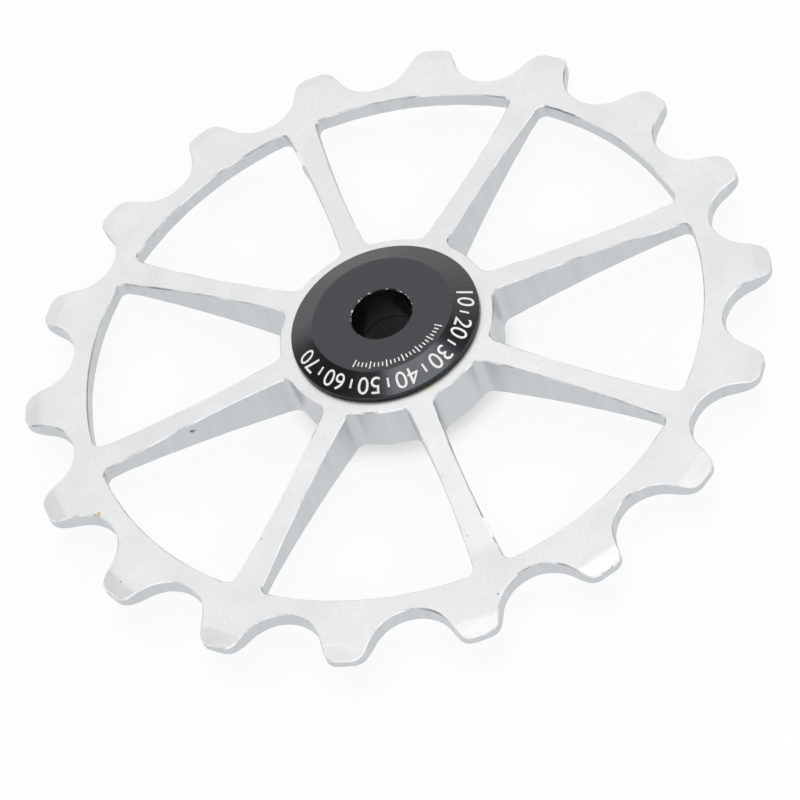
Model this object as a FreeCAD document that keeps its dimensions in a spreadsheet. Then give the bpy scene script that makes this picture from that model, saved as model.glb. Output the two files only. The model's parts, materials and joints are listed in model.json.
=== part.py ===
import FreeCAD, Part

import math
import os

import Sketcher

# A derailleur jockey wheel: a machined toothed wheel on a sealed ball bearing, closed by a cap on
# each face. The wheel lies flat, its axis is Z, and the origin is on the axis at mid-thickness.
# X runs along one spoke, which meets the ring behind a tooth gap.

# Driving dimensions in millimetres and degrees: alias, value, meaning.
SIZES = (
    ("chain_pitch", 12.7, "distance between chain rollers"),
    ("tooth_count", 18, "teeth round the wheel"),
    ("seat_radius", 4.1, "roller seat between two teeth"),
    ("flank_angle", 29.7, "tooth flank to the middle line of its gap"),
    ("corner_radius", 1.37, "round between a flank and the tooth tip"),
    ("tip_height", 0.48, "tooth tip above the pitch circle"),
    ("tip_thickness", 0.95, "tooth tip after its side bevels"),
    ("bevel_depth", 1.65, "side bevel measured inwards from the tip"),
    ("plate_thickness", 1.7, "ring and teeth"),
    ("ring_width", 1.92, "ring between a roller seat and a window"),
    ("spoke_count", 8, "spokes round the hub"),
    ("spoke_waist", 2.14, "narrowest width of a spoke"),
    ("waist_distance", 18.5, "wheel axis to the spoke's waist"),
    ("spoke_side_radius", 140, "hollow curve of a spoke's side"),
    ("ring_corner_radius", 0.8, "window corner at the ring"),
    ("hub_corner_radius", 1.1, "window corner at the hub"),
    ("taper_inset", 2.2, "end of the spoke's taper inside the ring"),
    ("hub_radius", 10.6, "outside of the hub between the spokes"),
    ("hub_face_radius", 9.8, "flat face of the hub"),
    ("hub_thickness", 5.2, "hub between its two faces"),
    ("bearing_bore", 8, "bearing inner ring, inside diameter"),
    ("bearing_outside", 16, "bearing outer ring, outside diameter"),
    ("bearing_width", 5, "bearing between its side faces"),
    ("ball_count", 10, "balls in the bearing"),
    ("ball_diameter", 2, "bearing ball"),
    ("ball_clearance", 0.02, "ball to each flat of a raceway"),
    ("raceway_slope", 45, "side of a raceway to its floor"),
    ("inner_land_height", 1.25, "inner ring wall beside its raceway"),
    ("outer_land_height", 1.2, "outer ring wall beside its raceway"),
    ("seal_inset", 0.1, "outer face of a seal below the side of the bearing"),
    ("seal_thickness", 0.4, "rubber seal"),
    ("seal_clearance", 0.05, "seal lip to the inner ring"),
    ("cage_width", 1.1, "cage ring measured across its section"),
    ("cage_back", 0.4, "cage web behind the balls"),
    ("cage_finger", 0.6, "cage finger past the middle of the balls"),
    ("pocket_clearance", 0.05, "ball to the wall of its cage pocket"),
    ("axle_bore", 6, "hole through both caps"),
    ("spigot_clearance", 0.02, "cap spigot in the bearing's inner ring"),
    ("spigot_gap", 0.1, "space between the ends of the two spigots"),
    ("shoulder_radius", 5, "cap shoulder that clamps the inner ring"),
    ("cap_radius", 9.29, "outside of a cap"),
    ("cap_clearance", 0.1, "cap to the face of the hub"),
    ("cap_rim", 0.39, "upright edge of a cap"),
    ("cap_flat_radius", 6.85, "flat top of a cap"),
    ("overall_width", 8.5, "outer face of one cap to that of the other"),
)

SIZE = {alias: value for alias, value, _ in SIZES}
PITCH_RADIUS = "Sizes.chain_pitch / (2 * sin(180 deg / Sizes.tooth_count))"
TIP_RADIUS = f"({PITCH_RADIUS} + Sizes.tip_height)"
RING_INNER = f"({PITCH_RADIUS} - Sizes.seat_radius - Sizes.ring_width)"
BALL_CIRCLE = "((Sizes.bearing_bore + Sizes.bearing_outside) / 4)"
HALF_BEARING = "(Sizes.bearing_width / 2)"
INNER_LAND = "(Sizes.bearing_bore / 2 + Sizes.inner_land_height)"
OUTER_LAND = "(Sizes.bearing_outside / 2 - Sizes.outer_land_height)"
RACEWAY_REACH = "(Sizes.ball_diameter / 2 + Sizes.ball_clearance)"
POCKET_HALF = "(Sizes.ball_diameter / 2 + Sizes.pocket_clearance)"

HALF_SPACING = "180 deg / Sizes.spoke_count"
SIDE_OFFSET = "(Sizes.spoke_waist / 2 + Sizes.spoke_side_radius)"
SIDE_CENTRE_X = f"(Sizes.waist_distance * cos({HALF_SPACING}) + {SIDE_OFFSET} * sin({HALF_SPACING}))"
SIDE_CENTRE_Y = f"({SIDE_OFFSET} * cos({HALF_SPACING}) - Sizes.waist_distance * sin({HALF_SPACING}))"
GAP_OUTSIDE = f"({TIP_RADIUS} + Sizes.bevel_depth)"

# How a sketch names its own origin and X axis in a constraint.
ROOT_POINT = (-1, 1)
X_AXIS = -1


def add_sheet(doc):
    """The spreadsheet of driving dimensions."""
    sheet = doc.addObject("Spreadsheet::Sheet", "Sizes")
    for row, (alias, value, meaning) in enumerate(SIZES, start=1):
        sheet.set(f"A{row}", meaning)
        sheet.set(f"B{row}", str(value))
        sheet.setAlias(f"B{row}", alias)
    doc.recompute()
    return sheet


def number(sketch, formula):
    """What a formula over the sheet comes to, for the first draft of a sketch."""
    result = sketch.evalExpression(formula)
    return float(getattr(result, "Value", result))


def bind(sketch, constraint, formula):
    """A constraint whose size follows a formula over the sheet."""
    size = number(sketch, formula)
    if constraint[0] == "Angle":
        size = math.radians(size)
    index = sketch.addConstraint(Sketcher.Constraint(*constraint, size))
    sketch.setExpression(f"Constraints[{index}]", formula)


def add_body(doc, label):
    body = doc.addObject("PartDesign::Body", label)
    body.Label = label
    return body


def add_sketch(body, name, plane):
    """An empty sketch on one of the body's own origin planes."""
    sketch = body.newObject("Sketcher::SketchObject", name)
    support = next(item for item in body.Origin.OriginFeatures if item.Role == plane)
    sketch.AttachmentSupport = [(support, "")]
    sketch.MapMode = "FlatFace"
    return sketch


def add_outline(body, name, plane, corners):
    """A sketch of one closed outline. Its corners are formulas, across and up the plane."""
    sketch = add_sketch(body, f"{name}_outline", plane)
    places = [FreeCAD.Vector(number(sketch, across), number(sketch, up), 0) for across, up in corners]
    for index, place in enumerate(places):
        following = places[(index + 1) % len(places)]
        sketch.addGeometry(Part.LineSegment(place, following), False)
    for index, (across, up) in enumerate(corners):
        following = (index + 1) % len(corners)
        sketch.addConstraint(Sketcher.Constraint("Coincident", index, 2, following, 1))
        bind(sketch, ("DistanceX", *ROOT_POINT, index, 1), across)
        bind(sketch, ("DistanceY", *ROOT_POINT, index, 1), up)
    return sketch


def turn_outline(body, name, corners):
    """Turn a closed outline about Z. Its corners are formulas for radius and height."""
    sketch = add_outline(body, name, "XZ_Plane", corners)
    turned = body.newObject("PartDesign::Revolution", name)
    turned.Profile = sketch
    turned.ReferenceAxis = (sketch, ["V_Axis"])
    turned.Angle = 360
    return turned


def both_sides(upper_half):
    """An outline that is the same above and below mid-thickness, from its upper half."""
    return upper_half + tuple((across, f"-{up}") for across, up in reversed(upper_half))


def cut_through(body, name, sketch):
    """Cut a sketch through the body to both sides of its plane."""
    pocket = body.newObject("PartDesign::Pocket", name)
    pocket.Profile = sketch
    pocket.Type = "ThroughAll"
    pocket.SideType = "Symmetric"
    return pocket


def repeat_round(body, name, feature, count):
    """Copies of a cut, evenly spaced about Z."""
    axis = next(item for item in body.Origin.OriginFeatures if item.Role == "Z_Axis")
    pattern = body.newObject("PartDesign::PolarPattern", name)
    pattern.Originals = [feature]
    pattern.Axis = (axis, [""])
    pattern.Angle = 360
    pattern.setExpression("Occurrences", count)
    body.Tip = pattern
    return pattern


def arc(centre, radius, start, end):
    """The arc that runs counterclockwise from one point to another."""
    first = math.atan2(start[1] - centre[1], start[0] - centre[0])
    last = math.atan2(end[1] - centre[1], end[0] - centre[0])
    circle = Part.Circle(FreeCAD.Vector(centre[0], centre[1], 0), FreeCAD.Vector(0, 0, 1), radius)
    return Part.ArcOfCircle(circle, first, last)


def line(start, end):
    return Part.LineSegment(FreeCAD.Vector(start[0], start[1], 0), FreeCAD.Vector(end[0], end[1], 0))


def towards(start, direction, length):
    return (start[0] + direction[0] * length, start[1] + direction[1] * length)


def mirrored(place):
    return (place[0], -place[1])


def crossing(centre_a, radius_a, centre_b, radius_b, highest):
    """Where two circles cross: the upper or the lower point."""
    across = centre_b[0] - centre_a[0]
    up = centre_b[1] - centre_a[1]
    apart = math.hypot(across, up)
    along = (apart**2 + radius_a**2 - radius_b**2) / (2 * apart)
    aside = math.sqrt(radius_a**2 - along**2)
    foot = (centre_a[0] + across * along / apart, centre_a[1] + up * along / apart)
    turn = (-up * aside / apart, across * aside / apart)
    points = [(foot[0] + turn[0], foot[1] + turn[1]), (foot[0] - turn[0], foot[1] - turn[1])]
    return max(points, key=lambda point: point[1] if highest else -point[1])


def tooth_gap_sketch(body):
    """One gap between two teeth, on the X axis: roller seat, flanks and rounded tooth corners."""
    sketch = add_sketch(body, "tooth_gap_outline", "XY_Plane")
    pitch = number(sketch, PITCH_RADIUS)
    tip = number(sketch, TIP_RADIUS)
    outside = number(sketch, GAP_OUTSIDE)
    seat = SIZE["seat_radius"]
    corner = SIZE["corner_radius"]
    slope = math.radians(SIZE["flank_angle"])
    along_flank = (math.cos(slope), math.sin(slope))
    off_flank = (-math.sin(slope), math.cos(slope))
    seat_end = towards((pitch, 0), off_flank, seat)
    # the corner's centre lies a corner radius off the flank and as far inside the tip circle
    start = towards(seat_end, off_flank, corner)
    along = start[0] * along_flank[0] + start[1] * along_flank[1]
    beside = start[0] ** 2 + start[1] ** 2 - (tip - corner) ** 2
    flank = -along + math.sqrt(along**2 - beside)
    corner_centre = towards(start, along_flank, flank)
    corner_start = towards(seat_end, along_flank, flank)
    spread = math.atan2(corner_centre[1], corner_centre[0])
    outwards = (math.cos(spread), math.sin(spread))
    tip_point = towards((0, 0), outwards, tip)
    mouth = towards((0, 0), outwards, outside)

    seat_arc = sketch.addGeometry(arc((pitch, 0), seat, seat_end, mirrored(seat_end)), False)
    upper_flank = sketch.addGeometry(line(seat_end, corner_start), False)
    upper_corner = sketch.addGeometry(arc(corner_centre, corner, corner_start, tip_point), False)
    upper_side = sketch.addGeometry(line(tip_point, mouth), False)
    mouth_arc = sketch.addGeometry(arc((0, 0), outside, mirrored(mouth), mouth), False)
    lower_side = sketch.addGeometry(line(mirrored(mouth), mirrored(tip_point)), False)
    lower_corner = sketch.addGeometry(
        arc(mirrored(corner_centre), corner, mirrored(tip_point), mirrored(corner_start)), False
    )
    lower_flank = sketch.addGeometry(line(mirrored(corner_start), mirrored(seat_end)), False)

    sketch.addConstraint(
        [
            Sketcher.Constraint("PointOnObject", seat_arc, 3, X_AXIS),
            Sketcher.Constraint("Tangent", seat_arc, 1, upper_flank, 1),
            Sketcher.Constraint("Tangent", upper_flank, 2, upper_corner, 1),
            Sketcher.Constraint("Perpendicular", upper_corner, 2, upper_side, 1),
            Sketcher.Constraint("Coincident", upper_side, 2, mouth_arc, 2),
            Sketcher.Constraint("PointOnObject", *ROOT_POINT, upper_side),
            Sketcher.Constraint("Coincident", mouth_arc, 3, *ROOT_POINT),
            Sketcher.Constraint("Coincident", mouth_arc, 1, lower_side, 1),
            Sketcher.Constraint("PointOnObject", *ROOT_POINT, lower_side),
            Sketcher.Constraint("Perpendicular", lower_side, 2, lower_corner, 1),
            Sketcher.Constraint("Tangent", lower_corner, 2, lower_flank, 1),
            Sketcher.Constraint("Tangent", lower_flank, 2, seat_arc, 2),
            Sketcher.Constraint("Equal", upper_corner, lower_corner),
            Sketcher.Constraint("Symmetric", upper_corner, 2, lower_corner, 1, X_AXIS),
        ]
    )
    bind(sketch, ("DistanceX", *ROOT_POINT, seat_arc, 3), PITCH_RADIUS)
    bind(sketch, ("Radius", seat_arc), "Sizes.seat_radius")
    bind(sketch, ("Angle", upper_flank), "Sizes.flank_angle")
    bind(sketch, ("Radius", upper_corner), "Sizes.corner_radius")
    bind(sketch, ("Distance", *ROOT_POINT, upper_corner, 2), TIP_RADIUS)
    bind(sketch, ("Radius", mouth_arc), GAP_OUTSIDE)
    return sketch


def window_sketch(body):
    """One window between two spokes, on the sketch's X axis, turned half a spoke's spacing."""
    sketch = add_sketch(body, "window_outline", "XY_Plane")
    sketch.setExpression("AttachmentOffset.Rotation.Angle", HALF_SPACING)
    half = math.radians(number(sketch, HALF_SPACING))
    ring = number(sketch, RING_INNER)
    hub = SIZE["hub_radius"]
    side = SIZE["spoke_side_radius"]
    ring_corner = SIZE["ring_corner_radius"]
    hub_corner = SIZE["hub_corner_radius"]
    # the lower side belongs to the spoke at minus half the spacing and bulges into it
    side_centre = (number(sketch, SIDE_CENTRE_X), number(sketch, SIDE_CENTRE_Y))
    ring_corner_centre = crossing((0, 0), ring - ring_corner, side_centre, side - ring_corner, False)
    hub_corner_centre = crossing((0, 0), hub + hub_corner, side_centre, side - hub_corner, False)

    def outward(centre, distance):
        length = math.hypot(*centre)
        return (centre[0] * distance / length, centre[1] * distance / length)

    def on_side(centre):
        away = (centre[0] - side_centre[0], centre[1] - side_centre[1])
        length = math.hypot(*away)
        return towards(side_centre, (away[0] / length, away[1] / length), side)

    ring_end = outward(ring_corner_centre, ring)
    hub_end = outward(hub_corner_centre, hub)
    side_outer = on_side(ring_corner_centre)
    side_inner = on_side(hub_corner_centre)

    ring_arc = sketch.addGeometry(arc((0, 0), ring, ring_end, mirrored(ring_end)), False)
    hub_arc = sketch.addGeometry(arc((0, 0), hub, hub_end, mirrored(hub_end)), False)
    lower_side = sketch.addGeometry(arc(side_centre, side, side_inner, side_outer), False)
    upper_side = sketch.addGeometry(
        arc(mirrored(side_centre), side, mirrored(side_outer), mirrored(side_inner)), False
    )
    lower_ring_corner = sketch.addGeometry(arc(ring_corner_centre, ring_corner, side_outer, ring_end), False)
    upper_ring_corner = sketch.addGeometry(
        arc(mirrored(ring_corner_centre), ring_corner, mirrored(ring_end), mirrored(side_outer)), False
    )
    lower_hub_corner = sketch.addGeometry(arc(hub_corner_centre, hub_corner, hub_end, side_inner), False)
    upper_hub_corner = sketch.addGeometry(
        arc(mirrored(hub_corner_centre), hub_corner, mirrored(side_inner), mirrored(hub_end)), False
    )

    sketch.addConstraint(
        [
            Sketcher.Constraint("Coincident", ring_arc, 3, *ROOT_POINT),
            Sketcher.Constraint("Coincident", hub_arc, 3, *ROOT_POINT),
            Sketcher.Constraint("Tangent", ring_arc, 1, lower_ring_corner, 2),
            Sketcher.Constraint("Tangent", lower_ring_corner, 1, lower_side, 2),
            Sketcher.Constraint("Tangent", lower_side, 1, lower_hub_corner, 2),
            Sketcher.Constraint("Tangent", lower_hub_corner, 1, hub_arc, 1),
            Sketcher.Constraint("Tangent", hub_arc, 2, upper_hub_corner, 2),
            Sketcher.Constraint("Tangent", upper_hub_corner, 1, upper_side, 2),
            Sketcher.Constraint("Tangent", upper_side, 1, upper_ring_corner, 2),
            Sketcher.Constraint("Tangent", upper_ring_corner, 1, ring_arc, 2),
            Sketcher.Constraint("Symmetric", lower_side, 3, upper_side, 3, X_AXIS),
            Sketcher.Constraint("Equal", lower_side, upper_side),
            Sketcher.Constraint("Equal", lower_ring_corner, upper_ring_corner),
            Sketcher.Constraint("Equal", lower_hub_corner, upper_hub_corner),
        ]
    )
    bind(sketch, ("Radius", ring_arc), RING_INNER)
    bind(sketch, ("Radius", hub_arc), "Sizes.hub_radius")
    bind(sketch, ("Radius", lower_side), "Sizes.spoke_side_radius")
    bind(sketch, ("DistanceX", *ROOT_POINT, lower_side, 3), SIDE_CENTRE_X)
    bind(sketch, ("DistanceY", *ROOT_POINT, lower_side, 3), SIDE_CENTRE_Y)
    bind(sketch, ("Radius", lower_ring_corner), "Sizes.ring_corner_radius")
    bind(sketch, ("Radius", lower_hub_corner), "Sizes.hub_corner_radius")
    return sketch


def add_wheel(doc):
    """The toothed wheel: turned blank, windows between the spokes, gaps between the teeth."""
    body = add_body(doc, "toothed_wheel")
    bore = "Sizes.bearing_outside / 2"
    taper_end = f"{RING_INNER} - Sizes.taper_inset"
    bevel_start = f"{TIP_RADIUS} - Sizes.bevel_depth"
    upper_half = (
        (bore, "Sizes.hub_thickness / 2"),
        ("Sizes.hub_face_radius", "Sizes.hub_thickness / 2"),
        (taper_end, "Sizes.plate_thickness / 2"),
        (bevel_start, "Sizes.plate_thickness / 2"),
        (TIP_RADIUS, "Sizes.tip_thickness / 2"),
    )
    turn_outline(body, "blank", both_sides(upper_half))
    window = cut_through(body, "window", window_sketch(body))
    repeat_round(body, "windows", window, "Sizes.spoke_count")
    gap = cut_through(body, "tooth_gap", tooth_gap_sketch(body))
    repeat_round(body, "tooth_gaps", gap, "Sizes.tooth_count")
    return body


def add_race(doc, label, wall, land, direction):
    """A bearing ring between its plain wall and its land, with a raceway of three flats round the
    balls. The direction is that of the raceway's floor from the balls: inwards or outwards."""
    body = add_body(doc, label)
    land_distance = f"({direction}({land} - {BALL_CIRCLE}))"
    floor = f"({BALL_CIRCLE} {direction} {RACEWAY_REACH})"
    floor_half = f"({RACEWAY_REACH} * tan(Sizes.raceway_slope * 1 deg / 2))"
    side_foot = f"({land_distance} * cos(Sizes.raceway_slope * 1 deg))"
    mouth_half = f"(({RACEWAY_REACH} - {side_foot}) / sin(Sizes.raceway_slope * 1 deg))"
    upper_half = (
        (floor, floor_half),
        (land, mouth_half),
        (land, HALF_BEARING),
        (wall, HALF_BEARING),
    )
    turn_outline(body, "race", both_sides(upper_half))
    return body


def add_seal(doc, label, side):
    """A rubber seal in the outer ring's bore, with its lip close to the inner ring."""
    body = add_body(doc, label)
    outer = f"({HALF_BEARING} - Sizes.seal_inset)"
    inner = f"({outer} - Sizes.seal_thickness)"
    lip = f"({INNER_LAND} + Sizes.seal_clearance)"
    corners = (
        (lip, f"{side}{inner}"),
        (OUTER_LAND, f"{side}{inner}"),
        (OUTER_LAND, f"{side}{outer}"),
        (lip, f"{side}{outer}"),
    )
    turn_outline(body, "seal", corners)
    return body


def add_cage(doc):
    """The comb cage: a ring behind the balls with a finger between each two of them."""
    body = add_body(doc, "ball_cage")
    inside = f"({BALL_CIRCLE} - Sizes.cage_width / 2)"
    outside = f"({BALL_CIRCLE} + Sizes.cage_width / 2)"
    back = f"-({POCKET_HALF} + Sizes.cage_back)"
    corners = (
        (inside, back),
        (outside, back),
        (outside, "Sizes.cage_finger"),
        (inside, "Sizes.cage_finger"),
    )
    turn_outline(body, "cage_ring", corners)
    open_end = "(Sizes.cage_finger + Sizes.cage_back)"
    slot = (
        (f"-{POCKET_HALF}", f"-{POCKET_HALF}"),
        (POCKET_HALF, f"-{POCKET_HALF}"),
        (POCKET_HALF, open_end),
        (f"-{POCKET_HALF}", open_end),
    )
    pocket = body.newObject("PartDesign::Pocket", "ball_pocket")
    pocket.Profile = add_outline(body, "ball_pocket", "YZ_Plane", slot)
    pocket.Type = "Length"
    pocket.Reversed = True
    pocket.setExpression("Length", "Sizes.bearing_outside / 2")
    repeat_round(body, "ball_pockets", pocket, "Sizes.ball_count")
    return body


def add_ball(doc, index):
    """One faceted ball at its place on the ball circle: a cube as wide as the ball with all its edges
    cut back to flats that touch the ball too."""
    body = add_body(doc, f"bearing_ball_{index + 1}")
    half = "Sizes.ball_diameter / 2"
    square = ((f"-{half}", f"-{half}"), (half, f"-{half}"), (half, half), (f"-{half}", half))
    cube = body.newObject("PartDesign::Pad", "cube")
    cube.Profile = add_outline(body, "cube", "XY_Plane", square)
    cube.SideType = "Symmetric"
    cube.setExpression("Length", "Sizes.ball_diameter")
    doc.recompute()
    flats = body.newObject("PartDesign::Chamfer", "flats")
    flats.Base = (cube, [])
    flats.UseAllEdges = True
    flats.setExpression("Size", f"{half} * (1 - tan(22.5 deg))")
    turn = f"{index} * 360 deg / Sizes.ball_count"
    body.setExpression("Placement.Base.x", f"{BALL_CIRCLE} * cos({turn})")
    body.setExpression("Placement.Base.y", f"{BALL_CIRCLE} * sin({turn})")
    body.setExpression("Placement.Rotation.Angle", turn)
    return body


def add_cap(doc, label, side):
    """A cap: a flat-topped cone with a rim close to the hub, a shoulder on the bearing's inner ring
    and a spigot in its bore."""
    body = add_body(doc, label)
    top = "Sizes.overall_width / 2"
    underside = "(Sizes.hub_thickness / 2 + Sizes.cap_clearance)"
    spigot = "Sizes.bearing_bore / 2 - Sizes.spigot_clearance"
    outline = (
        ("Sizes.axle_bore / 2", "Sizes.spigot_gap / 2"),
        (spigot, "Sizes.spigot_gap / 2"),
        (spigot, HALF_BEARING),
        ("Sizes.shoulder_radius", HALF_BEARING),
        ("Sizes.shoulder_radius", underside),
        ("Sizes.cap_radius", underside),
        ("Sizes.cap_radius", f"({underside} + Sizes.cap_rim)"),
        ("Sizes.cap_flat_radius", top),
        ("Sizes.axle_bore / 2", top),
    )
    corners = tuple((across, f"{side}{up}") for across, up in outline)
    turn_outline(body, "cap", corners)
    return body


def add_pieces(doc):
    """Every piece of the wheel, in the order that it goes together."""
    pieces = [
        add_wheel(doc),
        add_race(doc, "bearing_outer_ring", "Sizes.bearing_outside / 2", OUTER_LAND, "+"),
        add_race(doc, "bearing_inner_ring", "Sizes.bearing_bore / 2", INNER_LAND, "-"),
        add_cage(doc),
    ]
    pieces += [add_ball(doc, index) for index in range(SIZE["ball_count"])]
    pieces += [add_seal(doc, "front_seal", ""), add_seal(doc, "back_seal", "-")]
    pieces += [add_cap(doc, "front_cap", ""), add_cap(doc, "back_cap", "-")]
    return pieces


def check_features(doc):
    """Stop if any object of the document failed."""
    failed = [item.Label for item in doc.Objects if {"Invalid", "Error"} & set(item.State)]
    if failed:
        raise RuntimeError(f"failed: {', '.join(failed)}")


def check_piece(piece):
    """Stop unless the piece is one valid solid."""
    shape = piece.Shape
    if shape.isNull() or not shape.isValid() or len(shape.Solids) != 1:
        raise RuntimeError(f"{piece.Label} is not one valid solid")


def main():
    doc = FreeCAD.newDocument("jockey_wheel")
    add_sheet(doc)
    pieces = add_pieces(doc)
    doc.recompute()
    check_features(doc)
    for piece in pieces:
        check_piece(piece)
    os.makedirs("parts", exist_ok=True)
    for piece in pieces:
        piece.Shape.exportStep(f"parts/{piece.Label}.step")


main()
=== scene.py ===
import json
import math

import bmesh
import bpy
from mathutils import Matrix, Vector, noise

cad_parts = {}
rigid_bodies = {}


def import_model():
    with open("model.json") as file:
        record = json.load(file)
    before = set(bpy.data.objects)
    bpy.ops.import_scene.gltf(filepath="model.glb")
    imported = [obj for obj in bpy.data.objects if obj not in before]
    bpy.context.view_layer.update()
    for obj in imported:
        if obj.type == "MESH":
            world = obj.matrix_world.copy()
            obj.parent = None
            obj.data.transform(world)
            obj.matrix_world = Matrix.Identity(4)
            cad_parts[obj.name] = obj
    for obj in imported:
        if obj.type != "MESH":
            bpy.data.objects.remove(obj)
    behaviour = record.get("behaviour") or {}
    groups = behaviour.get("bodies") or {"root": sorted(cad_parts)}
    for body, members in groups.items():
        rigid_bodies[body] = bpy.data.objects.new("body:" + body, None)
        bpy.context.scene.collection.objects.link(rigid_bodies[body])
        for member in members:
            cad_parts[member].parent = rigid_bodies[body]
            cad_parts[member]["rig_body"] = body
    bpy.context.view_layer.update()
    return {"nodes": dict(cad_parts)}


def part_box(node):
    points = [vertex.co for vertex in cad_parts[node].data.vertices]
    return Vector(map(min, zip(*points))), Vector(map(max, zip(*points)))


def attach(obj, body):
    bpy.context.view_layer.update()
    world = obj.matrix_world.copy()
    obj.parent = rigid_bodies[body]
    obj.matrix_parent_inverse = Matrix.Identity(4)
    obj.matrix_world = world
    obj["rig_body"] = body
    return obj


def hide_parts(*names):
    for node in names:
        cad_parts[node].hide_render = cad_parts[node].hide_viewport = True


bl_info = {
    "name": "Jockey wheel looks",
    "version": (1, 0, 0),
    "blender": (4, 5, 0),
    "location": "3D View > Sidebar > Jockey Wheel",
    "description": "Finishes a derailleur jockey wheel: machined wheel, bearing, caps and studio",
    "category": "Object",
}

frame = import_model()
MM = 0.001
FULL_TURN = 2 * math.pi
# Points nearer to each other than this are one.
TOUCHING = 1e-7

# What the frame gives: the outside of a cap, its flat top, the floor that the wheel lies on and
# the names of the balls.
CAP_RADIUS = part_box("front_cap")[1].x
CAP_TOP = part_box("front_cap")[1].z
FLOOR_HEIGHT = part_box("back_cap")[0].z
BALL_NODES = sorted(name for name in frame["nodes"] if name.startswith("bearing_ball_"))

# A Mix node's sockets for colours.
SHARE, FIRST, SECOND = 0, 6, 7
AS_COLOUR = {"output": 2, "data_type": "RGBA"}

# The materials of the toothed wheel, by slot.
FACE_SLOT, WALL_SLOT, EDGE_SLOT = 0, 1, 2


def linear(hex_colour):
    """An sRGB hex colour as Blender's linear red, green, blue and alpha."""
    channels = [int(hex_colour[index : index + 2], 16) / 255 for index in (0, 2, 4)]
    curve = [c / 12.92 if c <= 0.04045 else ((c + 0.055) / 1.055) ** 2.4 for c in channels]
    return (*curve, 1.0)


def colour(title, meaning, hex_colour):
    """A colour that the user may change."""
    return bpy.props.FloatVectorProperty(
        name=title,
        description=meaning,
        subtype="COLOR",
        size=4,
        min=0,
        max=1,
        default=linear(hex_colour),
    )


def length(title, meaning, millimetres):
    """A length that the user may change."""
    return bpy.props.FloatProperty(
        name=title,
        description=meaning,
        unit="LENGTH",
        min=0,
        precision=5,
        default=millimetres * MM,
    )


def glow(title, meaning, amount):
    """A brightness that the user may change."""
    return bpy.props.FloatProperty(name=title, description=meaning, min=0, default=amount)


class WheelLooks(bpy.types.PropertyGroup):
    edge_break: length("Edge break", "Width of the broken edges of the toothed wheel", 0.12)
    soft_break: length("Soft edge", "Width of the soft edge where a tooth starts to thin", 0.25)
    edge_step: length("Edge step", "Length over which a broken edge keeps its width", 0.8)
    face: colour("Faces", "Turned and tumbled aluminium", "DAD9D8")
    # Darker and bluer than the faces: painted shade and reflection on the upright walls.
    wall: colour("Walls", "Milled aluminium between the spokes and teeth", "CDD1D3")
    # Lighter than the faces: a painted highlight along the broken edges.
    edge: colour("Edges", "Bright broken edges", "E4E6E8")


class CapLooks(bpy.types.PropertyGroup):
    flat_radius: length("Flat radius", "Flat top of a cap", 6.85)
    rim: length("Rim", "Upright edge of a cap", 0.39)
    bore_radius: length("Bore radius", "Hole through both caps", 3.0)
    spigot_radius: length("Spigot radius", "Spigot in the bearing's inner ring", 3.98)
    shoulder_radius: length("Shoulder radius", "Shoulder on the bearing's inner ring", 5.0)
    shoulder_height: length("Shoulder height", "Shoulder from mid-thickness", 2.5)
    underside_height: length("Underside height", "Underside from mid-thickness", 2.7)
    inner_end: length("Inner end", "End of the spigot from mid-thickness", 0.05)
    black: colour("Black", "Black anodised aluminium", "0C0C0D")
    print_white: colour("Print", "White pad print", "F2F2F0")
    numeral_height: length("Numeral height", "Plain numbers round the cone", 1.7)
    ink: length("Ink", "Thickness of the print; the flat top lies lower by as much", 0.01)


class BearingLooks(bpy.types.PropertyGroup):
    ball_circle: length("Ball circle", "Radius of the circle that the balls run on", 6.0)
    ball_radius: length("Ball radius", "Bearing ball", 1.0)
    groove_radius: length("Groove radius", "Section of both raceways", 1.04)
    groove_clearance: length("Groove clearance", "Ball to the bottom of its raceway", 0.02)
    half_width: length("Half width", "Half of the bearing's width", 2.5)
    bore_radius: length("Bore radius", "Inside of the inner ring", 4.0)
    inner_land: length("Inner land", "Inner ring beside its raceway", 5.25)
    outer_land: length("Outer land", "Outer ring beside its raceway", 6.8)
    outside_radius: length("Outside radius", "Outside of the outer ring", 8.0)
    corner: length("Corner", "Rounded corners of both rings", 0.2)


class StudioLooks(bpy.types.PropertyGroup):
    floor: colour("Floor", "Pale studio floor", "F4F5F6")
    surroundings: colour("Surroundings", "Dim room round the studio", "64686C")
    floor_white: glow("Floor white", "Share of plain white that is seen on the floor", 0.88)
    back_light: glow("Back light", "Brightness of the two panels behind the wheel", 1.12)
    front_light: glow("Front light", "Brightness of the three panels in front", 1.35)
    top_light: glow("Top light", "Brightness of the panel over the wheel", 4.0)


def add_node(material, kind, inputs, output=0, **settings):
    """Add a node with its settings, give its inputs values or links, and return one output."""
    node = material.node_tree.nodes.new(kind)
    for name, value in settings.items():
        setattr(node, name, value)
    for name, value in inputs.items():
        if isinstance(value, bpy.types.NodeSocket):
            material.node_tree.links.new(value, node.inputs[name])
        else:
            node.inputs[name].default_value = value
    return node.outputs[output] if node.outputs else None


def new_material(name):
    """An empty material and its Object coordinates."""
    material = bpy.data.materials.new(name)
    material.use_nodes = True
    material.node_tree.nodes.clear()
    return material, add_node(material, "ShaderNodeTexCoord", {}, "Object")


def finish_material(material, sockets):
    """Close a material with one Principled shader."""
    shader = add_node(material, "ShaderNodeBsdfPrincipled", sockets)
    add_node(material, "ShaderNodeOutputMaterial", {"Surface": shader})
    return material


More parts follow.
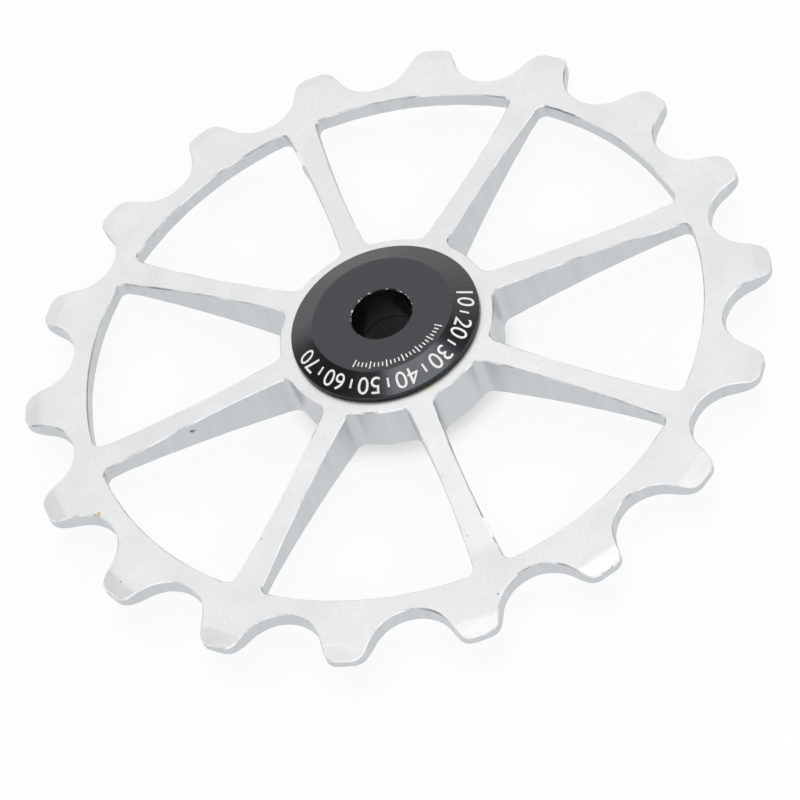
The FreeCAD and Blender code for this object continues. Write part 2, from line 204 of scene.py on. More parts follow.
def pattern(material, place, size, detail, low, high, clip=(0.3, 0.7)):
    """Noise with grains of the given millimetres along X, Y and Z, as a number from low to high."""
    sizes = {"Vector": place, "Scale": [1 / (side * MM) for side in size]}
    scaled = add_node(material, "ShaderNodeMapping", sizes)
    grain = {"Vector": scaled, "Scale": 1.0, "Detail": detail}
    limits = {
        "Value": add_node(material, "ShaderNodeTexNoise", grain),
        "From Min": clip[0],
        "From Max": clip[1],
        "To Min": low,
        "To Max": high,
    }
    return add_node(material, "ShaderNodeMapRange", limits)


def darker(shade, factor):
    """A colour at a share of its brightness."""
    return (shade[0] * factor, shade[1] * factor, shade[2] * factor, 1.0)


def marked(material, place, tint, marks):
    """Dirt and chips with ragged outlines over a tint."""
    ragged_size, ragged_reach = 0.3 * MM, 0.8 * MM
    grain = {"Vector": place, "Scale": 1 / ragged_size}
    ragged = add_node(material, "ShaderNodeTexNoise", grain, "Color")
    centred = {0: ragged, 1: (0.5, 0.5, 0.5)}
    shift = add_node(material, "ShaderNodeVectorMath", centred, operation="SUBTRACT")
    shifted = {0: shift, 1: (ragged_reach, ragged_reach, ragged_reach), 2: place}
    moved = add_node(material, "ShaderNodeVectorMath", shifted, operation="MULTIPLY_ADD")
    for spot, size, strength, shade in marks:
        ends = {0: moved, 1: tuple(value * MM for value in spot)}
        away = add_node(material, "ShaderNodeVectorMath", ends, "Value", operation="DISTANCE")
        limits = {"Value": away, "From Min": 0.6 * size * MM, "From Max": size * MM}
        limits.update({"To Min": strength, "To Max": 0.0})
        amount = add_node(material, "ShaderNodeMapRange", limits)
        shades = {SHARE: amount, FIRST: tint, SECOND: linear(shade)}
        tint = add_node(material, "ShaderNodeMix", shades, **AS_COLOUR)
    return tint


# Each mark's place and radius in millimetres, how strong it is, and its colour: tan dirt in a tooth
# gap, chips on teeth, spokes and ring, and stains beside the cap.
FACE_MARKS = (
    ((-18.3, -27.4, 0.8), 0.42, 0.9, "B9A58A"),
    ((-18.7, -27.5, 0.75), 0.2, 1.0, "5E4630"),
    ((-12.23, -33.43, 0.8), 0.12, 0.6, "3A3A3C"),
    ((-0.91, -25.33, 1.13), 0.1, 0.5, "3A3A3C"),
    ((18.07, -19.26, 1.03), 0.12, 0.5, "55565A"),
    ((13.0, -14.2, 1.71), 0.13, 0.4, "55565A"),
    ((23.63, -24.12, 0.85), 0.13, 0.9, "3A3A3C"),
    ((30.2, -1.5, 0.85), 0.12, 0.5, "55565A"),
    ((20.37, 22.32, 0.85), 0.12, 0.4, "55565A"),
    ((-10.94, -1.17, 2.48), 0.14, 0.4, "8A8270"),
    ((7.75, -5.55, 2.6), 0.7, 0.35, "D8D0B0"),
)
WALL_MARKS = (((-14.13, -15.68, 0.5), 0.3, 0.8, "4A4B4D"),)


def turned_aluminium(looks):
    """Aluminium, turned and tumbled: pale satin faces with faint clouds and fine scratches."""
    material, place = new_material("turned_tumbled_aluminium")
    face = tuple(looks.face)
    clouds = pattern(material, place, (5, 5, 5), 4.0, 0.0, 1.0)
    # Tumbling marks are about 0.05 mm and scratches 0.02 mm wide, too fine to show, so both are
    # drawn coarser.
    fine = pattern(material, place, (0.5, 0.5, 0.5), 3.0, 0.0, 1.0)
    scratches = pattern(material, place, (4, 0.35, 1), 3.0, 0.0, 1.0)
    shades = {SHARE: clouds, FIRST: darker(face, 0.91), SECOND: face}
    tint = add_node(material, "ShaderNodeMix", shades, **AS_COLOUR)
    tumbled = pattern(material, place, (0.5, 0.5, 0.5), 3.0, 0.0, 0.5)
    shades = {SHARE: tumbled, FIRST: tint, SECOND: darker(face, 0.88)}
    tint = add_node(material, "ShaderNodeMix", shades, **AS_COLOUR)
    relief = {"Height": scratches, "Distance": 0.0015 * MM}
    scratched = add_node(material, "ShaderNodeBump", relief)
    relief = {"Height": fine, "Distance": 0.004 * MM, "Normal": scratched}
    sockets = {
        "Base Color": marked(material, place, tint, FACE_MARKS),
        "Metallic": 1.0,
        "Roughness": pattern(material, place, (3, 3, 3), 4.0, 0.32, 0.40),
        "Normal": add_node(material, "ShaderNodeBump", relief),
    }
    return finish_material(material, sockets)


def milled_aluminium_painted_shade(looks):
    """Aluminium cut by the side of an end mill, with upright bands and lines; the walls' darker
    bluish grey is painted shade and reflection.
    """
    material, place = new_material("side_milled_aluminium")
    # The wall colour is darker and bluer than the faces' as painted shade and reflection; the bands
    # and lines are the cutter's.
    wall = tuple(looks.wall)
    bands = pattern(material, place, (1.3, 1.3, 25), 3.0, 0.0, 1.0)
    # The cutter leaves a line each 0.05 mm, too fine to show, so the lines are drawn at 0.22 mm.
    lines = pattern(material, place, (0.22, 0.22, 8), 2.0, 0.0, 1.0)
    shades = {SHARE: bands, FIRST: darker(wall, 0.93), SECOND: wall}
    tint = add_node(material, "ShaderNodeMix", shades, **AS_COLOUR)
    relief = {"Height": bands, "Distance": 0.012 * MM}
    banded = add_node(material, "ShaderNodeBump", relief)
    relief = {"Height": lines, "Distance": 0.003 * MM, "Normal": banded}
    sockets = {
        "Base Color": marked(material, place, tint, WALL_MARKS),
        "Metallic": 1.0,
        "Roughness": pattern(material, place, (2, 2, 12), 3.0, 0.36, 0.46),
        "Normal": add_node(material, "ShaderNodeBump", relief),
    }
    return finish_material(material, sockets)


def broken_edge_painted_highlight(looks):
    """Edges broken by tumbling, with tiny nicks; their colour, brighter than the faces, is a
    painted highlight.
    """
    material, place = new_material("tumbled_edge_painted_highlight")
    # The edge colour is lighter than the faces' to paint a highlight along the broken edges.
    edge = tuple(looks.edge)
    nicks = pattern(material, place, (0.3, 0.3, 0.3), 4.0, 0.0, 1.0)
    shades = {SHARE: nicks, FIRST: darker(edge, 0.85), SECOND: edge}
    relief = {"Height": nicks, "Distance": 0.01 * MM}
    sockets = {
        "Base Color": add_node(material, "ShaderNodeMix", shades, **AS_COLOUR),
        "Metallic": 1.0,
        "Roughness": 0.34,
        "Normal": add_node(material, "ShaderNodeBump", relief),
    }
    return finish_material(material, sockets)


def black_anodised(looks):
    """Black anodised aluminium: a hard clear skin over dyed metal, satin, with specks of dust."""
    material, place = new_material("black_anodised_aluminium")
    black = tuple(looks.black)
    clouds = pattern(material, place, (4, 4, 4), 2.0, 0.0, 1.0)
    # The skin's own grain is about 0.03 mm, too fine to show, so it is drawn at 0.12 mm.
    grain = pattern(material, place, (0.12, 0.12, 0.12), 3.0, 0.0, 1.0)
    dust = pattern(material, place, (0.16, 0.16, 0.16), 1.0, 0.0, 1.0, clip=(0.78, 0.82))
    shades = {SHARE: clouds, FIRST: darker(black, 0.85), SECOND: black}
    tint = add_node(material, "ShaderNodeMix", shades, **AS_COLOUR)
    shades = {SHARE: dust, FIRST: tint, SECOND: linear("8E9092")}
    relief = {"Height": grain, "Distance": 0.0012 * MM}
    sockets = {
        "Base Color": add_node(material, "ShaderNodeMix", shades, **AS_COLOUR),
        "Metallic": 0.0,
        "Roughness": pattern(material, place, (2, 2, 2), 3.0, 0.20, 0.24),
        "IOR": 1.6,
        "Specular Tint": linear("F4F9FF"),
        "Normal": add_node(material, "ShaderNodeBump", relief),
    }
    return finish_material(material, sockets)


def worn_bore_edge(looks):
    """The bore's edge, where the axle has rubbed the black skin through to bare metal in specks."""
    material, place = new_material("rubbed_anodised_edge")
    rubbed = pattern(material, place, (0.35, 0.35, 0.35), 4.0, 0.0, 1.0, clip=(0.57, 0.63))
    shades = {SHARE: rubbed, FIRST: tuple(looks.black), SECOND: linear("D0D2D4")}
    relief = {"Height": rubbed, "Distance": 0.004 * MM}
    sockets = {
        "Base Color": add_node(material, "ShaderNodeMix", shades, **AS_COLOUR),
        "Metallic": rubbed,
        "Roughness": 0.3,
        "Normal": add_node(material, "ShaderNodeBump", relief),
    }
    return finish_material(material, sockets)


def white_print(looks):
    """White pad-printing ink: thin, matt and slightly uneven."""
    material, place = new_material("pad_printed_white_ink")
    ink = tuple(looks.print_white)
    wear = pattern(material, place, (0.25, 0.25, 0.25), 3.0, 0.0, 1.0)
    shades = {SHARE: wear, FIRST: darker(ink, 0.88), SECOND: ink}
    tint = add_node(material, "ShaderNodeMix", shades, **AS_COLOUR)
    return finish_material(material, {"Base Color": tint, "Roughness": 0.5})


def ground_steel():
    """Hardened bearing steel, ground round the axis: a fine grey sheen."""
    material, place = new_material("ground_bearing_steel")
    # Grinding lines are about 0.01 mm apart, too fine to show, so they are drawn at 0.11 mm.
    grinding = pattern(material, place, (2.5, 2.5, 0.11), 2.0, 0.0, 1.0)
    shades = {SHARE: grinding, FIRST: linear("A9ACB0"), SECOND: linear("C4C7CA")}
    relief = {"Height": grinding, "Distance": 0.001 * MM}
    sockets = {
        "Base Color": add_node(material, "ShaderNodeMix", shades, **AS_COLOUR),
        "Metallic": 1.0,
        "Roughness": pattern(material, place, (2.5, 2.5, 0.11), 2.0, 0.16, 0.26),
        "Normal": add_node(material, "ShaderNodeBump", relief),
    }
    return finish_material(material, sockets)


def polished_ceramic():
    """Silicon nitride balls, lapped to a dark gloss."""
    material, place = new_material("lapped_silicon_nitride")
    # The ceramic's grains are under 0.01 mm, too fine to show, so they are drawn at 0.1 mm.
    speckle = pattern(material, place, (0.1, 0.1, 0.1), 2.0, 0.0, 1.0)
    shades = {SHARE: speckle, FIRST: linear("232427"), SECOND: linear("2E2F33")}
    tint = add_node(material, "ShaderNodeMix", shades, **AS_COLOUR)
    return finish_material(material, {"Base Color": tint, "Roughness": 0.08, "IOR": 2.0})


def moulded_polyamide():
    """The ball cage: glass-filled polyamide from a mould, tan and matt."""
    material, place = new_material("moulded_polyamide")
    # Glass fibres are about 0.01 mm thick, too fine to show, so they are drawn at 0.1 mm.
    fibres = pattern(material, place, (0.4, 0.4, 0.1), 3.0, 0.0, 1.0)
    shades = {SHARE: fibres, FIRST: linear("A98A5C"), SECOND: linear("BE9F70")}
    relief = {"Height": fibres, "Distance": 0.004 * MM}
    sockets = {
        "Base Color": add_node(material, "ShaderNodeMix", shades, **AS_COLOUR),
        "Roughness": 0.55,
        "Normal": add_node(material, "ShaderNodeBump", relief),
    }
    return finish_material(material, sockets)


def moulded_rubber():
    """Nitrile rubber seals from a mould: black and dull."""
    material, place = new_material("moulded_nitrile_rubber")
    # The mould's texture is about 0.03 mm, too fine to show, so it is drawn at 0.2 mm.
    skin = pattern(material, place, (0.2, 0.2, 0.2), 3.0, 0.0, 1.0)
    shades = {SHARE: skin, FIRST: linear("131313"), SECOND: linear("1E1E1F")}
    relief = {"Height": skin, "Distance": 0.004 * MM}
    sockets = {
        "Base Color": add_node(material, "ShaderNodeMix", shades, **AS_COLOUR),
        "Roughness": 0.7,
        "Normal": add_node(material, "ShaderNodeBump", relief),
    }
    return finish_material(material, sockets)


def studio_paper(looks):
    """Pale matt paper, lifted to white for the camera and reflections, but not under the bore."""
    material, place = new_material("pale_studio_paper")
    floor = tuple(looks.floor)
    # Paper fibres are about 0.5 mm long, too fine to show, so they are drawn at 2 mm.
    fibres = pattern(material, place, (2, 2, 2), 2.0, 0.0, 1.0)
    shades = {SHARE: fibres, FIRST: darker(floor, 0.99), SECOND: floor}
    tint = add_node(material, "ShaderNodeMix", shades, **AS_COLOUR)
    matt = add_node(material, "ShaderNodeBsdfDiffuse", {"Color": tint})
    plain_white = {"Color": (1, 1, 1, 1), "Strength": 1.0}
    white = add_node(material, "ShaderNodeEmission", plain_white)
    seen = add_node(material, "ShaderNodeLightPath", {}, "Is Camera Ray")
    for name in ("Is Glossy Ray", "Is Transmission Ray"):
        other = add_node(material, "ShaderNodeLightPath", {}, name)
        seen = add_node(material, "ShaderNodeMath", {0: seen, 1: other}, operation="MAXIMUM")
    ends = {0: place, 1: (0, 0, FLOOR_HEIGHT)}
    away = add_node(material, "ShaderNodeVectorMath", ends, "Value", operation="DISTANCE")
    limits = {"Value": away, "From Min": 5 * MM, "From Max": 12 * MM, "To Min": 0.0}
    limits["To Max"] = looks.floor_white
    share = add_node(material, "ShaderNodeMapRange", limits)
    share = add_node(material, "ShaderNodeMath", {0: seen, 1: share}, operation="MULTIPLY")
    mixed = add_node(material, "ShaderNodeMixShader", {0: share, 1: matt, 2: white})
    add_node(material, "ShaderNodeOutputMaterial", {"Surface": mixed})
    return material


def new_piece(name, shape, materials):
    """Turn a bmesh into an object at the origin."""
    mesh = bpy.data.meshes.new(name)
    shape.to_mesh(mesh)
    shape.free()
    for material in materials:
        mesh.materials.append(material)
    piece = bpy.data.objects.new(name, mesh)
    bpy.context.scene.collection.objects.link(piece)
    return piece


def stand_for(piece, node):
    """A finer piece takes the place of one CAD node and rides with that node's body."""
    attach(piece, frame["nodes"][node]["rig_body"])
    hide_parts(node)


def outline(shape, corners):
    """A closed outline of edges in the XZ plane from corners of radius and height."""
    corner_verts = [shape.verts.new((radius, 0, height)) for radius, height in corners]
    for index, vert in enumerate(corner_verts):
        shape.edges.new((vert, corner_verts[(index + 1) % len(corner_verts)]))
    return corner_verts


def round_corners(shape, corner_verts, radius, segments):
    """Round some corners of an outline."""
    bmesh.ops.bevel(
        shape,
        geom=corner_verts,
        offset=radius,
        offset_type="OFFSET",
        affect="VERTICES",
        segments=segments,
        profile=0.5,
        material=-1,
    )


def turn_round(shape, steps):
    """Spin the outline once round Z into a closed skin, facing outwards."""
    bmesh.ops.spin(
        shape,
        geom=shape.verts[:] + shape.edges[:],
        cent=(0, 0, 0),
        axis=(0, 0, 1),
        angle=FULL_TURN,
        steps=steps,
        use_merge=True,
    )
    bmesh.ops.remove_doubles(shape, verts=shape.verts[:], dist=TOUCHING)
    bmesh.ops.recalc_face_normals(shape, faces=shape.faces[:])


def flatten_shading(piece):
    """Let large faces keep their own normals beside small ones."""
    weigh = piece.modifiers.new("flat_faces", "WEIGHTED_NORMAL")
    weigh.keep_sharp = True
    weigh.weight = 100


def smooth_piece(piece, angle=math.radians(35)):
    """Smooth shading that keeps flat faces flat and edges over an angle crisp."""
    piece.data.shade_smooth()
    piece.data.set_sharp_from_angle(angle=angle)
    flatten_shading(piece)


def merged_copy(node):
    """A CAD node's mesh as one skin, with its flat faces whole."""
    shape = bmesh.new()
    shape.from_mesh(frame["nodes"][node].data)
    bmesh.ops.remove_doubles(shape, verts=shape.verts[:], dist=TOUCHING)
    bmesh.ops.dissolve_limit(
        shape, angle_limit=math.radians(0.5), verts=shape.verts[:], edges=shape.edges[:]
    )
    return shape


def sharp_edges(shape):
    """The edges where two faces meet at a real corner."""
    least = math.radians(40)
    return [e for e in shape.edges if e.is_manifold and e.calc_face_angle(0) > least]


def divide_long_edges(shape, step):
    """Cut each long sharp edge into lengths of about one step."""
    groups = {}
    for edge in sharp_edges(shape):
        groups.setdefault(int(edge.calc_length() / step), []).append(edge)
    for cuts, edges in sorted(groups.items()):
        if cuts > 0:
            whole = [edge for edge in edges if edge.is_valid]
            bmesh.ops.subdivide_edges(shape, edges=whole, cuts=cuts)


def break_edges(shape, edges, width, segments):
    """Bevel edges to a real width and return the new faces."""
    made = bmesh.ops.bevel(
        shape,
        geom=edges,
        offset=width,
        offset_type="OFFSET",
        affect="EDGES",
        segments=segments,
        profile=0.5,
        clamp_overlap=False,
        material=-1,
    )
    return made["faces"]


class JOCKEYWHEEL_OT_toothed_wheel(bpy.types.Operator):
    """Add the toothed wheel with milled walls, turned faces and worn edges, the walls tinted with
    painted shade and the edges with a painted highlight
    """

    bl_idname = "jockey_wheel.toothed_wheel"
    bl_label = "Toothed Wheel"

    def execute(self, context):
        looks = context.scene.wheel_looks
        shape = merged_copy("toothed_wheel")
        nearly_level, steep, least_bend = 0.9, 0.5, math.radians(5)
        soft = [
            edge
            for edge in shape.edges
            if edge.is_manifold
            and all(abs(face.normal.z) > nearly_level for face in edge.link_faces)
            and edge.calc_face_angle(0) > least_bend
        ]
        break_edges(shape, soft, looks.soft_break, 2)
        divide_long_edges(shape, looks.edge_step)
        for face in shape.faces:
            face.material_index = FACE_SLOT if abs(face.normal.z) > steep else WALL_SLOT
        chamfers = break_edges(shape, sharp_edges(shape), looks.edge_break, 1)
        for face in chamfers:
            face.material_index = EDGE_SLOT
        self.wear_edges(shape, chamfers)
        shape.normal_update()
        self.keep_creases(shape)
        materials = (
            turned_aluminium(looks),
            milled_aluminium_painted_shade(looks),
            broken_edge_painted_highlight(looks),
        )
        wheel = new_piece("machined_toothed_wheel", shape, materials)
        wheel.data.shade_smooth()
        flatten_shading(wheel)
        stand_for(wheel, "toothed_wheel")
        return {"FINISHED"}

    def wear_edges(self, shape, chamfers):
        """Vary the width of the broken edges along their length, as tumbling leaves them."""
        least_height, burred_radius = 0.02 * MM, 14 * MM
        long_wave, short_wave, wall_wave = 1.7 * MM, 0.5 * MM, 1.1 * MM
        elsewhere = Vector((9, 9, 9))
        moved = set()
        broken = {edge for face in chamfers for edge in face.edges}
        # The mesh's own order, so each run moves the corners in the same way.
        for edge in [edge for edge in shape.edges if edge in broken]:
            low, high = sorted(edge.verts, key=lambda vert: abs(vert.co.z))
            across = all(face.material_index == EDGE_SLOT for face in edge.link_faces)
            too_low = abs(high.co.z) - abs(low.co.z) < least_height
            if not across or too_low or moved & {low, high}:
                continue
            corner = Vector((low.co.x, low.co.y, high.co.z))
            burr = 1.5 if corner.xy.length < burred_radius else 1.0
            wave, nick = noise.noise(corner / long_wave), noise.noise(corner / short_wave)
            wide = 1 + burr * (0.4 * wave + 0.3 * nick)
            tall = 1 + burr * 0.45 * noise.noise(corner / wall_wave + elsewhere)
            high.co = corner + (high.co - corner) * wide
            low.co = corner + (low.co - corner) * tall
            moved |= {low, high}

    def keep_creases(self, shape):
        """Mark the creases that smooth shading must not round off."""
        face_crease, other_crease = 35, 25
        for edge in shape.edges:
            if not edge.is_manifold:
                continue
            slots = [face.material_index for face in edge.link_faces]
            crease = face_crease if slots == [FACE_SLOT, FACE_SLOT] else other_crease
            edge.smooth = math.degrees(edge.calc_face_angle(0)) < crease


class JOCKEYWHEEL_OT_caps(bpy.types.Operator):
    """Add the two black caps"""

    bl_idname = "jockey_wheel.caps"
    bl_label = "Caps"

    def execute(self, context):
        looks = context.scene.cap_looks
        materials = (black_anodised(looks), worn_bore_edge(looks))
        rim_round, top_round, bore_break, end_break = 0.1 * MM, 0.12 * MM, 0.1 * MM, 0.1 * MM
        outer_end = 4 * MM
        for node, side in (("front_cap", 1), ("back_cap", -1)):
            shape = bmesh.new()
            corner_verts = outline(
                shape,
                (
                    (looks.bore_radius, side * looks.inner_end),
                    (looks.spigot_radius, side * looks.inner_end),
                    (looks.spigot_radius, side * looks.shoulder_height),
                    (looks.shoulder_radius, side * looks.shoulder_height),
                    (looks.shoulder_radius, side * looks.underside_height),
                    (CAP_RADIUS, side * looks.underside_height),
                    (CAP_RADIUS, side * (looks.underside_height + looks.rim)),
                    (looks.flat_radius, side * (CAP_TOP - looks.ink)),
                    (looks.bore_radius, side * (CAP_TOP - looks.ink)),
                ),
            )
            round_corners(shape, corner_verts[5:7], rim_round, 3)
            round_corners(shape, corner_verts[7:8], top_round, 3)
            round_corners(shape, corner_verts[8:9], bore_break, 1)
            round_corners(shape, corner_verts[1:2], end_break, 1)
            turn_round(shape, 192)
            for face in shape.faces:
                centre = face.calc_center_median()
                sloping = 0.3 < abs(face.normal.z) < 0.95
                at_bore = centre.xy.length < looks.bore_radius + bore_break
                worn = sloping and at_bore and abs(centre.z) > outer_end
                face.material_index = 1 if worn else 0
            cap = new_piece(f"anodised_{node}", shape, materials)
            smooth_piece(cap, math.radians(30))
            stand_for(cap, node)
        return {"FINISHED"}


class JOCKEYWHEEL_OT_cap_marks(bpy.types.Operator):
    """Print plain numbers round the front cap's cone and a fine scale on its flat"""

    bl_idname = "jockey_wheel.cap_marks"
    bl_label = "Cap Marks"

    def execute(self, context):
        looks = context.scene.cap_looks
        shape = bmesh.new()
        first, last, count = math.radians(33), math.radians(-125), 7
        tick_size, tick_width = 0.9 * MM, 0.2 * MM
        middle = (CAP_RADIUS + looks.flat_radius) / 2
        for index in range(count):
            turn = first + (last - first) * index / (count - 1)
            self.print_number(shape, looks, str(10 * (index + 1)), turn, middle)
            if index < count - 1:
                half = turn + (last - first) / (count - 1) / 2
                self.print_tick(shape, looks, half, middle, tick_size, tick_width)
        fine, fine_start, fine_span, fine_radius = 25, 2, 90, 6.15 * MM
        long_size, short_size, fine_width = 0.85 * MM, 0.5 * MM, 0.12 * MM
        for index in range(fine):
            turn = math.radians(fine_start - fine_span * index / (fine - 1))
            size = long_size if index % 4 == 0 else short_size
            self.print_tick(shape, looks, turn, fine_radius, size, fine_width)
        marks = new_piece("printed_cap_marks", shape, (white_print(looks),))
        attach(marks, "axle_set")
        return {"FINISHED"}

    def cap_height(self, looks, radius):
        """Height of the front cap's surface at a distance from the axis."""
        flat = CAP_TOP - looks.ink
        if radius <= looks.flat_radius:
            return flat
        foot = looks.underside_height + looks.rim
        share = (radius - looks.flat_radius) / (CAP_RADIUS - looks.flat_radius)
        return flat + (foot - flat) * share

    def lay_down(self, shape, looks, faces, turn, radius):
        """Give flat faces the thickness of ink and lay them on the cap, tops outwards."""
        result = bmesh.ops.extrude_face_region(shape, geom=faces)
        raised = [item for item in result["geom"] if isinstance(item, bmesh.types.BMVert)]
        bmesh.ops.translate(shape, verts=raised, vec=(0, 0, looks.ink))
        verts = set(raised)
        for face in faces:
            verts.update(face.verts)
        width = CAP_RADIUS - looks.flat_radius
        slope = math.hypot(width, CAP_TOP - looks.underside_height - looks.rim)
        outward = width / slope if radius > looks.flat_radius else 1.0
        for vert in verts:
            distance = radius + vert.co.y * outward
            angle = turn - vert.co.x / radius
            height = self.cap_height(looks, distance) + vert.co.z
            vert.co = Vector((distance * math.cos(angle), distance * math.sin(angle), height))

    def print_tick(self, shape, looks, turn, radius, size, width):
        """Print a short line that points away from the axis."""
        square = bmesh.ops.create_grid(shape, x_segments=1, y_segments=3, size=0.5)
        bmesh.ops.scale(shape, verts=square["verts"], vec=(width, size, 1))
        faces = list({face for vert in square["verts"] for face in vert.link_faces})
        self.lay_down(shape, looks, faces, turn, radius)

    def print_number(self, shape, looks, text, turn, radius):
        """Print a number that reads from outside, in slices that can follow the cone."""
        font_height = 1.4
        curve = bpy.data.curves.new("number", "FONT")
        curve.body = text
        curve.size = looks.numeral_height * font_height
        curve.align_x = "CENTER"
        curve.align_y = "CENTER"
        letters = bpy.data.objects.new("number", curve)
        mesh = bpy.data.meshes.new_from_object(letters)
        before = set(shape.faces)
        shape.from_mesh(mesh)
        faces = [face for face in shape.faces if face not in before]
        edge = max(vert.co.x for face in faces for vert in face.verts)
        slices = 12
        for index in range(1, slices):
            across = {item for face in faces for item in (face, *face.edges, *face.verts)}
            cut = ((2 * index / slices - 1) * edge, 0, 0)
            bmesh.ops.bisect_plane(shape, geom=list(across), plane_co=cut, plane_no=(1, 0, 0))
            faces = [face for face in shape.faces if face not in before]
        bpy.data.objects.remove(letters)
        bpy.data.curves.remove(curve)
        bpy.data.meshes.remove(mesh)
        self.lay_down(shape, looks, faces, turn, radius)


class JOCKEYWHEEL_OT_bearing_rings(bpy.types.Operator):
    """Add the bearing's inner and outer rings with their round raceways"""

    bl_idname = "jockey_wheel.bearing_rings"
    bl_label = "Bearing Rings"

    def execute(self, context):
        looks = context.scene.bearing_looks
        material = ground_steel()
        plan = (
            ("bearing_outer_ring", looks.outside_radius, looks.outer_land, 1),
            ("bearing_inner_ring", looks.bore_radius, looks.inner_land, -1),
        )
        for node, wall, land, outward in plan:
            bottom = looks.ball_circle + outward * (looks.ball_radius + looks.groove_clearance)
            centre = bottom - outward * looks.groove_radius
            reach = math.acos(abs(land - centre) / looks.groove_radius)
            corners = [(wall, -looks.half_width), (land, -looks.half_width)]
            steps = 14
            for step in range(steps + 1):
                angle = reach * (2 * step / steps - 1)
                depth = centre + outward * looks.groove_radius * math.cos(angle)
                corners.append((depth, looks.groove_radius * math.sin(angle)))
            corners += [(land, looks.half_width), (wall, looks.half_width)]
            shape = bmesh.new()
            corner_verts = outline(shape, corners)
            ends = [corner_verts[0], corner_verts[-1]]
            round_corners(shape, ends, looks.corner, 3)
            turn_round(shape, 128)
            ring = new_piece(f"ground_{node}", shape, (material,))
            smooth_piece(ring)
            stand_for(ring, node)
        return {"FINISHED"}


class JOCKEYWHEEL_OT_balls(bpy.types.Operator):
    """Add the ceramic balls"""

    bl_idname = "jockey_wheel.balls"
    bl_label = "Balls"

    def execute(self, context):
        looks = context.scene.bearing_looks
        material = polished_ceramic()
        for node in BALL_NODES:
            low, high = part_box(node)
            shape = bmesh.new()
            middle = Matrix.Translation((low + high) / 2)
            bmesh.ops.create_icosphere(
                shape, subdivisions=3, radius=looks.ball_radius, matrix=middle
            )
            ball = new_piece(f"lapped_{node}", shape, (material,))
            ball.data.shade_smooth()
            stand_for(ball, node)
        return {"FINISHED"}


class JOCKEYWHEEL_OT_cage_and_seals(bpy.types.Operator):
    """Add the ball cage and the two rubber seals"""

    bl_idname = "jockey_wheel.cage_and_seals"
    bl_label = "Cage and Seals"

    def execute(self, context):
        cage_break, seal_break = 0.06 * MM, 0.05 * MM
        cage_shape = merged_copy("ball_cage")
        break_edges(cage_shape, sharp_edges(cage_shape), cage_break, 2)
        cage = new_piece("moulded_ball_cage", cage_shape, (moulded_polyamide(),))
        smooth_piece(cage)
        stand_for(cage, "ball_cage")
        rubber = moulded_rubber()
        for node in ("front_seal", "back_seal"):
            shape = merged_copy(node)
            break_edges(shape, sharp_edges(shape), seal_break, 2)
            seal = new_piece(f"moulded_{node}", shape, (rubber,))
            smooth_piece(seal)
            stand_for(seal, node)
        return {"FINISHED"}


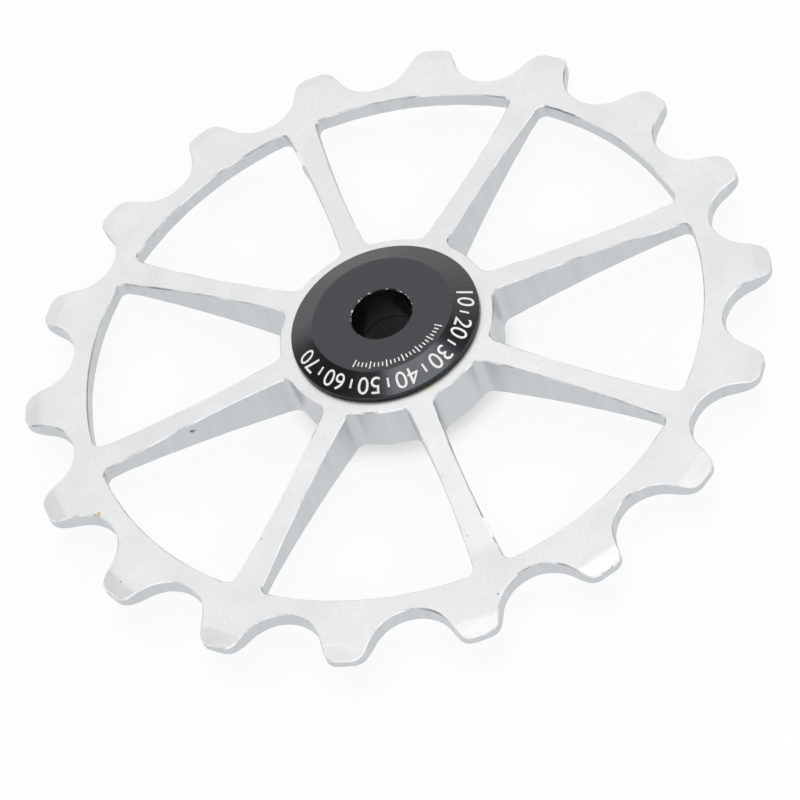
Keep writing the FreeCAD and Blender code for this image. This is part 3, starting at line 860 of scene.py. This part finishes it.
class JOCKEYWHEEL_OT_studio(bpy.types.Operator):
    """Add the floor, the light panels and the camera"""

    bl_idname = "jockey_wheel.studio"
    bl_label = "Studio"

    def execute(self, context):
        looks = context.scene.studio_looks
        self.add_floor(looks)
        self.add_room(context, looks)
        distance = 0.6
        behind = self.direction(134.4, 33)
        across = self.direction(44.4, 0)
        rise = behind.cross(across) * -1
        back = distance * (behind + 0.15 * across + 0.175 * rise)
        high = distance * (behind + 1.05 * rise)
        front = distance * self.direction(-64, 30)
        right = distance * self.direction(16, 27)
        left, left_light = distance * self.direction(-145, 15), 0.65 * looks.front_light
        over = Vector((0.11, -0.01, distance))
        down = Vector((0, 0, -1))
        # Each panel's name, its place, which way it faces and lies, its size and its brightness.
        panels = (
            ("back_panel", back, -behind, across, (1.02, 0.75), looks.back_light),
            ("high_panel", high, -high, across, (0.86, 0.34), looks.back_light),
            ("front_panel", front, -front, self.direction(26, 0), (0.9, 0.4), looks.front_light),
            ("right_panel", right, -right, self.direction(106, 0), (0.76, 0.36), looks.front_light),
            ("left_panel", left, -left, self.direction(-55, 0), (0.9, 0.26), left_light),
            ("top_panel", over, down, self.direction(54, 0), (0.42, 0.15), looks.top_light),
        )
        for panel in panels:
            self.add_panel(*panel)
        self.add_camera(context)
        context.scene.view_settings.view_transform = "Standard"
        return {"FINISHED"}

    def direction(self, azimuth, elevation):
        """A unit vector from degrees round Z and degrees above the floor."""
        turn, rise = math.radians(azimuth), math.radians(elevation)
        level_reach = math.cos(rise)
        return Vector((level_reach * math.cos(turn), level_reach * math.sin(turn), math.sin(rise)))

    def add_floor(self, looks):
        """A round floor that curves up into a low wall."""
        shape = bmesh.new()
        bend = 0.2
        section = [(0, 0), (1.2, 0), (1.7, 0), (1.7, 0.25)]
        verts = [shape.verts.new((radius, 0, FLOOR_HEIGHT + height)) for radius, height in section]
        for first, second in zip(verts, verts[1:]):
            shape.edges.new((first, second))
        round_corners(shape, [verts[2]], bend, 8)
        turn_round(shape, 96)
        for face in shape.faces:
            if face.normal.z < 0:
                face.normal_flip()
        floor = new_piece("studio_floor", shape, (studio_paper(looks),))
        floor.data.shade_smooth()

    def add_room(self, context, looks):
        """An even dim light from all round."""
        room = bpy.data.worlds.new("dim_room")
        room.use_nodes = True
        background = room.node_tree.nodes["Background"]
        background.inputs["Color"].default_value = tuple(looks.surroundings)
        background.inputs["Strength"].default_value = 1.0
        context.scene.world = room

    def add_panel(self, name, centre, facing, across, size, brightness):
        """An even rectangular light panel, seen in reflections and not by the camera."""
        light = bpy.data.lights.new(name, "AREA")
        light.shape = "RECTANGLE"
        light.size, light.size_y = size
        light.energy = brightness * math.pi * size[0] * size[1]
        panel = bpy.data.objects.new(name, light)
        bpy.context.scene.collection.objects.link(panel)
        back = -facing.normalized()
        side = across.normalized()
        axes = Matrix((side, back.cross(side), back)).transposed()
        panel.matrix_world = Matrix.Translation(centre) @ axes.to_4x4()
        panel.visible_camera = False

    def add_camera(self, context):
        """The photograph's camera: its aim on the wheel, its place, its roll and its lens."""
        aim, distance = Vector((4.006, -6.264, 0)) * MM, 359.30 * MM
        towards = self.direction(-45.211, 49.596)
        lens = bpy.data.cameras.new("camera")
        lens.lens = 170.28
        lens.sensor_width = 36
        lens.clip_start = 0.01
        camera = bpy.data.objects.new("camera", lens)
        context.scene.collection.objects.link(camera)
        level = (-towards).to_track_quat("-Z", "Y").to_matrix()
        roll = Matrix.Rotation(math.radians(-22.920), 3, "Z")
        place = Matrix.Translation(aim + distance * towards)
        camera.matrix_world = place @ (level @ roll).to_4x4()
        context.scene.camera = camera


class JOCKEYWHEEL_PT_sidebar(bpy.types.Panel):
    """The wheel's pieces and settings"""

    bl_idname = "JOCKEYWHEEL_PT_sidebar"
    bl_label = "Jockey Wheel"
    bl_space_type = "VIEW_3D"
    bl_region_type = "UI"
    bl_category = "Jockey Wheel"

    def draw(self, context):
        for operator in OPERATORS:
            self.layout.operator(operator.bl_idname)


OPERATORS = (
    JOCKEYWHEEL_OT_toothed_wheel,
    JOCKEYWHEEL_OT_caps,
    JOCKEYWHEEL_OT_cap_marks,
    JOCKEYWHEEL_OT_bearing_rings,
    JOCKEYWHEEL_OT_balls,
    JOCKEYWHEEL_OT_cage_and_seals,
    JOCKEYWHEEL_OT_studio,
)
SETTINGS = (
    ("wheel_looks", WheelLooks),
    ("cap_looks", CapLooks),
    ("bearing_looks", BearingLooks),
    ("studio_looks", StudioLooks),
)


def register():
    for name, group in SETTINGS:
        bpy.utils.register_class(group)
        setattr(bpy.types.Scene, name, bpy.props.PointerProperty(type=group))
    for operator in OPERATORS:
        bpy.utils.register_class(operator)
    bpy.utils.register_class(JOCKEYWHEEL_PT_sidebar)


def unregister():
    bpy.utils.unregister_class(JOCKEYWHEEL_PT_sidebar)
    for operator in reversed(OPERATORS):
        bpy.utils.unregister_class(operator)
    for name, group in reversed(SETTINGS):
        delattr(bpy.types.Scene, name)
        bpy.utils.unregister_class(group)


def main():
    register()
    bpy.ops.jockey_wheel.toothed_wheel()
    bpy.ops.jockey_wheel.caps()
    bpy.ops.jockey_wheel.cap_marks()
    bpy.ops.jockey_wheel.bearing_rings()
    bpy.ops.jockey_wheel.balls()
    bpy.ops.jockey_wheel.cage_and_seals()
    bpy.ops.jockey_wheel.studio()


if __name__ == "__main__":
    main()
